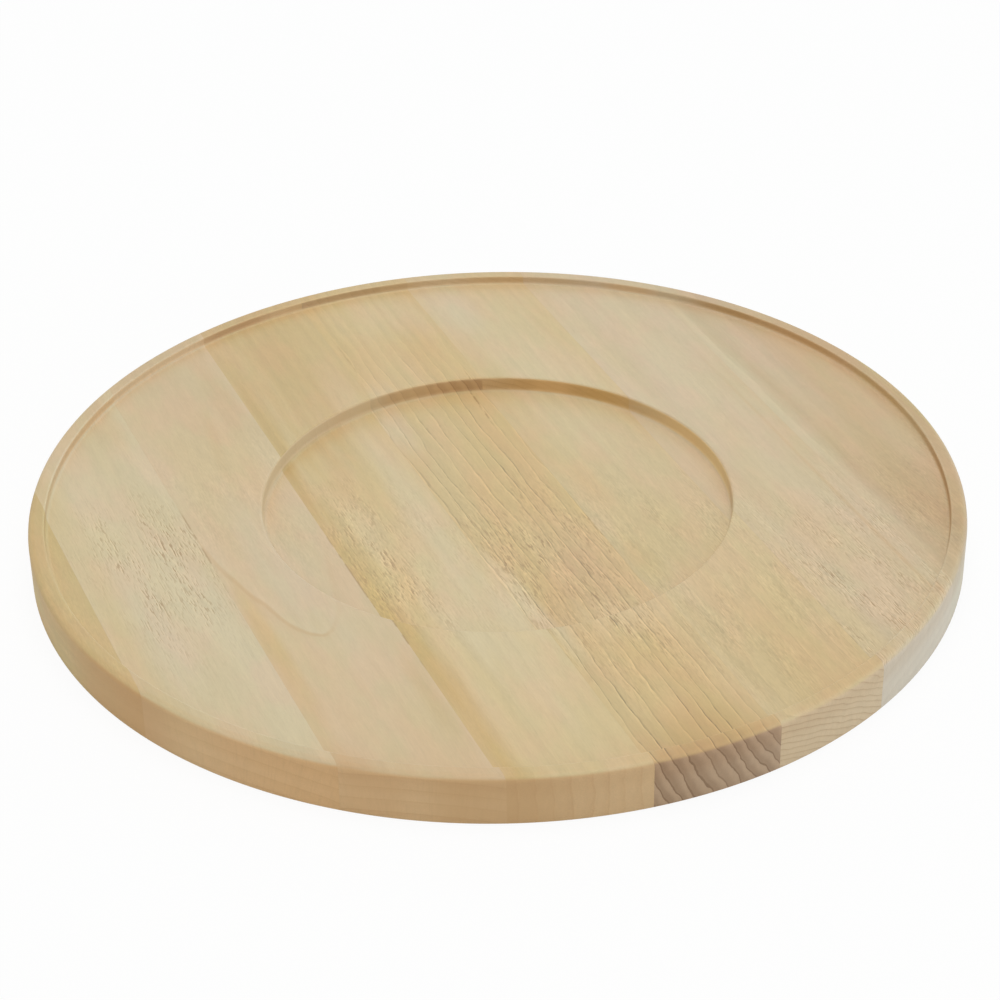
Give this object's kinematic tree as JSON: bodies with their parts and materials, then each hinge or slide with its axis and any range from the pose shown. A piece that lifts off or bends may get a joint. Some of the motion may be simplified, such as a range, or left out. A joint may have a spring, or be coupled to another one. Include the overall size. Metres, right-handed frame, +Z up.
{
  "type": "round serving board",
  "caption": "Round beech serving board glued up from parallel staves, with a low raised rim, a flat tray floor and a deeper round recess in the middle for a bowl or plate.",
  "frame": {"origin": "centre of the flat underside, where the board rests", "axes": "+Z up out of the tray, along the axis the board is turned about; +X along the grain of every stave; +Y across the staves, in the order of their numbers, from stave_1 to the thin strip stave_9"},
  "size_m": [0.4, 0.4, 0.022],
  "materials": {
    "beech_1": "sanded, bare",
    "beech_2": "sanded, bare",
    "beech_3": "sanded, bare",
    "beech_4": "sanded, bare",
    "beech_5": "sanded, bare",
    "beech_6": "sanded, bare",
    "beech_7": "sanded, bare",
    "beech_8": "sanded, bare",
    "beech_9": "sanded, bare"
  },
  "bodies": {
    "root": {"stave_1": "beech_1", "stave_2": "beech_2", "stave_3": "beech_3", "stave_4": "beech_4", "stave_5": "beech_5", "stave_6": "beech_6", "stave_7": "beech_7", "stave_8": "beech_8", "stave_9": "beech_9"}
  },
  "joints": []
}
